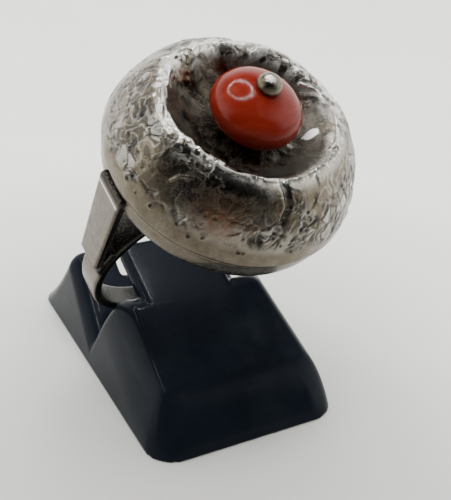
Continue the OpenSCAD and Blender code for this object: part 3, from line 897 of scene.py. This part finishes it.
def finger_band():
    points, quads = skin(band_solid, *BAND_BOX, BAND_STEP)
    p = points
    x, y, z = np.abs(p[:, 0]), np.abs(p[:, 1]), p[:, 2]
    r = np.hypot(x, z - HOLE_Z)
    angle = np.degrees(np.arctan2(z - HOLE_Z, x))
    u, v = strap_frame(p)
    face = smooth(u, -0.2, -0.08)
    # Painted shade: dark under the strap's lower end, in the slot at its top, on its face tucked against the
    # band, behind it, and low in the finger hole
    step = below(v, -11.25, -11.1) * smooth(v, -13.4, -12.8) * (r > BAND_R - 0.3)
    slot = below(u, -0.26, -0.1) * smooth(v, -0.35, 0.05)
    slot = np.maximum(slot, face * smooth(v, -0.46, -0.32) * below(y, 1.6, 1.8))
    tucked = smooth(v, -11.0, -9.0) * within(u, -0.9, 0.0, 0.12) * 0.5
    joint = bell(r - BAND_R, 0.10, 0.02) * (angle > 4) * (angle < 30) * 0.6
    behind = smooth(r, BAND_R - 0.5, BAND_R - 0.1) * smooth(z, -14, -11) * below(x, 11.4, 12.0) * 0.8
    inside = below(r, HOLE_R + 0.1, HOLE_R + 0.3) * smooth(-z, 16, 19) * 0.8
    mottle = 0.14 * face + 0.10 * noise(p / 0.35, 111) + 0.10 * layered(p / 0.9, 112, 3)
    oxide_and_shade = 0.22 + mottle + 0.9 * step + 0.9 * slot + tucked + joint + behind + inside
    oxide_and_shade = np.clip(oxide_and_shade + 0.10 * noise(p / 1.2, 110), 0, 1)
    # A painted highlight along the lip at the strap's top
    lip = 1.6 * face * bell(v, 0.10, -0.56) * below(y, 1.7, 1.95)
    marks = {"oxide_and_shade": oxide_and_shade, "rust": 0.14 * face, "polish_and_highlight": lip}
    piece("finger_band", seated(points), quads, "silver_ring", SILVER_POLISHED, marks)


# The bead and its pin. The pin's foot is in a blind seat in the crater's floor
BEAD_R, BEAD_H, GAP, BEAD_COLUMNS = 4.4, 5.4, 0.06, 200
PIN_HEAD_R, PIN_HEAD_TALL, PIN_TIP_R, PIN_R, PIN_COLUMNS = 1.2, 1.08, 0.02, 0.55, 96
FLOOR_T, SEAT_REST = 2, 0.8


def bead():
    bore = PIN_R + GAP
    first = math.asin(bore / BEAD_R)
    t = np.linspace(first, math.pi - first, 90)
    shell = np.stack([BEAD_R * np.sin(t), BEAD_H / 2 * np.cos(t)], -1)
    hole = np.stack([np.full(12, bore), np.linspace(shell[-1, 1], shell[0, 1], 14)[1:-1]], -1)
    line = np.vstack([shell, hole])[::-1]
    p = revolved(line, BEAD_COLUMNS)
    n = p / np.linalg.norm(p, axis=1, keepdims=True)
    outer = smooth(np.hypot(p[:, 0], p[:, 1]), 1.0, 2.0)
    p = p + n * (0.03 * layered(p / 3.5, 120, 2) * outer)[:, None]
    p[:, 2] += FLOOR_Z + GAP + BEAD_H / 2
    top = np.arange(BEAD_COLUMNS)
    last = top + (len(line) - 1) * BEAD_COLUMNS
    closing = np.stack([last, np.roll(last, -1), np.roll(top, -1), top], -1)
    quads = np.vstack([ring_quads(len(line), BEAD_COLUMNS), closing])
    piece("coral_bead_polished", seated(p), quads, "coral_bead", CORAL)


def pin():
    """The ball-headed pin, with a painted glint on its head and a painted dark reflection on its lower rim."""
    head_z = FLOOR_Z + BEAD_H + 2 * GAP
    foot_z = FLOOR_Z - FLOOR_T + SEAT_REST + GAP
    t = np.linspace(0, math.pi / 2, 30)
    ball_r = PIN_TIP_R + (PIN_HEAD_R - PIN_TIP_R) * np.cos(t)
    ball = np.stack([ball_r, head_z + 0.2 + PIN_HEAD_TALL * np.sin(t)], -1)
    shank = np.array([[PIN_R, foot_z], [PIN_R, head_z - 0.02]])
    edge = [[PIN_HEAD_R - 0.2, head_z], [PIN_HEAD_R - 0.05, head_z + 0.06], [PIN_HEAD_R, head_z + 0.16]]
    line = np.vstack([evenly(shank, 0.3), edge, ball])
    p = revolved(line, PIN_COLUMNS)
    up = smooth(p[:, 2], head_z, head_z + 0.3)
    p[:, :2] *= (1 + 0.02 * up * noise(p / 1.1, 130))[:, None]
    points, faces = capped(p, PIN_COLUMNS, (0, 0, foot_z), (0, 0, line[-1, 1]))
    z = points[:, 2]
    # A painted dark reflection on the head's lower rim, and dark down the shank
    oxide_and_shade = np.clip(0.05 + 0.8 * below(z, head_z, head_z + 0.25), 0, 1)
    oxide_and_shade = np.maximum(oxide_and_shade, 0.12 * smooth(z, head_z, head_z + 0.3))
    # A painted glint on the head
    glint = 1.9 * below(away(points, (-0.32, -0.12, head_z + 1.2)), 0.2, 0.58)
    marks = {"oxide_and_shade": oxide_and_shade, "rust": np.zeros(len(points)), "polish_and_highlight": glint}
    piece("bead_pin_polished", seated(points), faces, "bead_pin", SILVER_POLISHED, marks)


# The display stand, in mm. Lengths along it are from its front edge
STAND_L, STAND_W, LIP_H, SLOPE, WALL = 39.2, 22.0, 4.85, math.radians(23.4), 1.2
DRAFT, FRONT_LEAN = 0.15, 0.15
PLAN_R, CROWN_R = 3.4, 2.6
SLOT_Y, SLOT_Z, SLOT_SLOPE = 20.45, 3.4, math.radians(61)
LOBE_Y, LOBE_H, LOBE_R, BACK_SLOPE, BOW_R = 30.15, 9.6, 1.4, math.radians(65), 30.0
CUT_HALF, SILL_Y = 3.4, 26.75
CHIP_AT, CHIP_SIZE = (1.5, -19.8, -0.05), (2.4, 0.6, 0.26)
TONGUE_X, TONGUE_HALF, TONGUE_T, TONGUE_END, TONGUE_LONG = -0.85, 5.45, 1.6, 22.3, 12
STAND_BOX, STAND_STEP = ((-11.4, -20.3, -0.5), (11.4, 20.3, 15.0)), 0.27


def lobe_lines():
    """The slope of the lobe's front ramp, and the middle of its back's bow."""
    dy, dz = LOBE_Y - SLOT_Y, LOBE_H - LOBE_R - SLOT_Z
    ramp = math.atan2(dz, dy) + math.asin(LOBE_R / math.hypot(dy, dz))
    top = np.array([LOBE_Y + LOBE_R * math.sin(BACK_SLOPE), LOBE_H - LOBE_R + LOBE_R * math.cos(BACK_SLOPE)])
    tail = np.array([STAND_L, 0.0])
    half = np.linalg.norm(tail - top) / 2
    along = (tail - top) / (2 * half)
    middle = (top + tail) / 2 + math.sqrt(BOW_R**2 - half**2) * np.array([-along[1], along[0]])
    return ramp, middle


RAMP, BOW_MIDDLE = lobe_lines()


def slope_face(y, z):
    """How far each point is above the sloping face."""
    return (z - LIP_H - math.tan(SLOPE) * (y - FRONT_LEAN * LIP_H)) * math.cos(SLOPE)


def moulding(p):
    """The stand's outer form without its tongue and base."""
    x, y, z = np.abs(p[:, 0]), p[:, 1] + STAND_L / 2, p[:, 2]
    side = (x - STAND_W / 2 + DRAFT * z) / math.hypot(1, DRAFT)
    lip = (FRONT_LEAN * z - y) / math.hypot(1, FRONT_LEAN)
    top = slope_face(y, z)
    fall = (y - SLOT_Y - (SLOT_Z - z) / math.tan(SLOT_SLOPE)) * math.sin(SLOT_SLOPE)
    ramp = (z - math.tan(RAMP) * (y - SLOT_Y + SLOT_Z / math.tan(RAMP))) * math.cos(RAMP)
    bow = BOW_R - np.hypot(y - BOW_MIDDLE[0], z - BOW_MIDDLE[1])
    # The top's edges are rounder along the front than along the sides, and sharper at the crown's corners
    edge = 2.0 + 1.6 * smooth(lip - side, -2.0, 1.5)
    corner = smooth(side - top, -1.5, 1.0)
    walls = both(lip, side, PLAN_R)
    front = both(block((top, 6.0), (walls, edge)), fall, CROWN_R - 1.5 * corner)
    cut = both(np.abs(p[:, 0] - TONGUE_X) - CUT_HALF, SILL_Y - y, 0.5)
    lobe = both(both(both(ramp, bow, 1.6), side, 1.8), -cut, 0.35)
    return np.minimum(front, lobe)


def tongue_solid(p):
    """The tongue, a hair lower than the sloping face that it runs on from."""
    x, y, z = np.abs(p[:, 0] - TONGUE_X), p[:, 1] + STAND_L / 2, p[:, 2]
    up = slope_face(y, z)
    end_z = LIP_H + math.tan(SLOPE) * (TONGUE_END - FRONT_LEAN * LIP_H)
    along = (y - TONGUE_END) * math.cos(SLOPE) + (z - end_z) * math.sin(SLOPE)
    plan = both(x - TONGUE_HALF, along, 1.6)
    slab = both(plan, np.abs(up + 0.02 + TONGUE_T / 2) - TONGUE_T / 2, 0.62)
    return np.maximum(slab, -along - TONGUE_LONG)


def stand_solid(p):
    """The whole stand: a shell open below, with its tongue and a chip in its front base edge."""
    outer = moulding(p)
    shell = both(outer, -(outer + WALL), 0.25)
    tongue = np.maximum(tongue_solid(p), -(outer + WALL))
    shell = np.maximum(shell, (1 - away(p, CHIP_AT, CHIP_SIZE)) * CHIP_SIZE[2])
    return both(np.minimum(shell, tongue), -p[:, 2], 0.12)


def stand():
    points, quads = skin(stand_solid, *STAND_BOX, STAND_STEP)
    piece("display_stand_moulded", points, quads, "display_stand", PLASTIC)


# The floor, in m, the lights and the room
GROUND_HALF, GROUND_DROP = 3.0, 0.00002
PAPER, PAPER_LIGHT = (0.80, 0.80, 0.765), (0.83, 0.83, 0.795)
# Painted shadow: the paper is darker round the stand, and towards the camera
PAINTED_SHADOW_ROUND, PAINTED_SHADOW_NEAR, NEAR_WAY = (0.2, 0.2, 0.19), (0.19, 0.185, 0.17), (-0.47, -0.88, 0)
LAMP_OVERLAP = 1.03
WALL_TONE, CEILING_TONE, SHADE_TONE, OPEN = (2.3, 2.3, 2.2), (0.08, 0.08, 0.085), (0.04, 0.048, 0.06), (1, 1, 1)


def floor():
    m = Nodes(bpy.data.materials.new("paper_floor"))
    paper = m.mix(m.remap(m.noise(0.02, 3), 0.35, 0.65), PAPER, PAPER_LIGHT)
    nearer = m.measure("DOT_PRODUCT", _0=m.place(1.0), _1=NEAR_WAY)
    around = m.measure("LENGTH", _0=m.place(1.0))
    # Painted shadow round the stand, and towards the camera
    paper = m.mix(m.remap(around, 62, 18, 0, 0.42), paper, PAINTED_SHADOW_ROUND)
    m.set(Base_Color=m.mix(m.remap(nearer, 0, 72), paper, PAINTED_SHADOW_NEAR))
    m.set(Roughness=0.6, Specular_IOR_Level=0.2)
    m.set(Normal=m.bump(m.noise(3, 3), 0.02, 0.3))
    mesh = bpy.data.meshes.new("floor")
    corners = [(x * GROUND_HALF, y * GROUND_HALF, 0) for x, y in ((-1, -1), (1, -1), (1, 1), (-1, 1))]
    mesh.from_pydata(corners, [], [(0, 1, 2, 3)])
    obj = bpy.data.objects.new("floor", mesh)
    obj.location.z = -GROUND_DROP
    scene.collection.objects.link(obj)
    mesh.materials.append(m.owner)


def soft_lamp(place, size, power):
    """A wide lamp that faces down and that no polished surface shows."""
    data = bpy.data.lights.new("soft_lamp", "AREA")
    data.size = size
    data.energy = power
    obj = bpy.data.objects.new("soft_lamp", data)
    obj.location = place
    obj.visible_glossy = False
    scene.collection.objects.link(obj)


def ring_lamp(centre, axis, radius, count, width, power):
    """A ring of small lamps that face against the axis."""
    axis = Vector(axis).normalized()
    side = axis.orthogonal().normalized()
    other = axis.cross(side)
    for i in range(count):
        a = 2 * math.pi * i / count
        out = side * math.cos(a) + other * math.sin(a)
        tangent = axis.cross(out)
        data = bpy.data.lights.new("ring_lamp", "AREA")
        data.shape = "RECTANGLE"
        data.size = 2 * math.pi * radius / count * LAMP_OVERLAP
        data.size_y = width
        data.energy = power / count
        obj = bpy.data.objects.new("ring_lamp", data)
        obj.matrix_world = standing(Vector(centre) + out * radius, tangent, axis.cross(tangent), axis)
        scene.collection.objects.link(obj)


def sky():
    """A pale room, dark overhead and dark on the side that the photograph is taken from."""
    m = Nodes(bpy.data.worlds.new("room"))
    scene.world = m.owner
    ways = m.node("ShaderNodeTexCoord").outputs["Generated"]

    def towards(azimuth, elevation, *stops):
        """A ramp over how close a direction is to the given one."""
        a, e = math.radians(azimuth), math.radians(elevation)
        way = (math.sin(a) * math.cos(e), -math.cos(a) * math.cos(e), math.sin(e))
        return m.ramp(m.measure("DOT_PRODUCT", _0=ways, _1=way), *stops)

    walls = towards(0, 90, (0.55, WALL_TONE), (0.80, CEILING_TONE))
    viewer = towards(-36, 4, (0.60, OPEN), (0.80, SHADE_TONE))
    beside = towards(-2, 2, (0.60, OPEN), (0.82, SHADE_TONE))
    room = m.mix(1.0, m.mix(1.0, walls, viewer, "MULTIPLY"), beside, "MULTIPLY")
    back = m.tree.nodes["Background"]
    m.feed(back.inputs["Color"], room)
    back.inputs["Strength"].default_value = 1.0


make_camera()
dome()
cup()
finger_band()
bead()
pin()
stand()
floor()
sky()
ring_lamp(centre=(-0.03, 0.13, 1.0), axis=(-0.03, 0.13, 0.99), radius=0.372, count=36, width=0.012, power=11.0)
soft_lamp(place=(0.0, 0.08, 0.45), size=0.9, power=5.2)
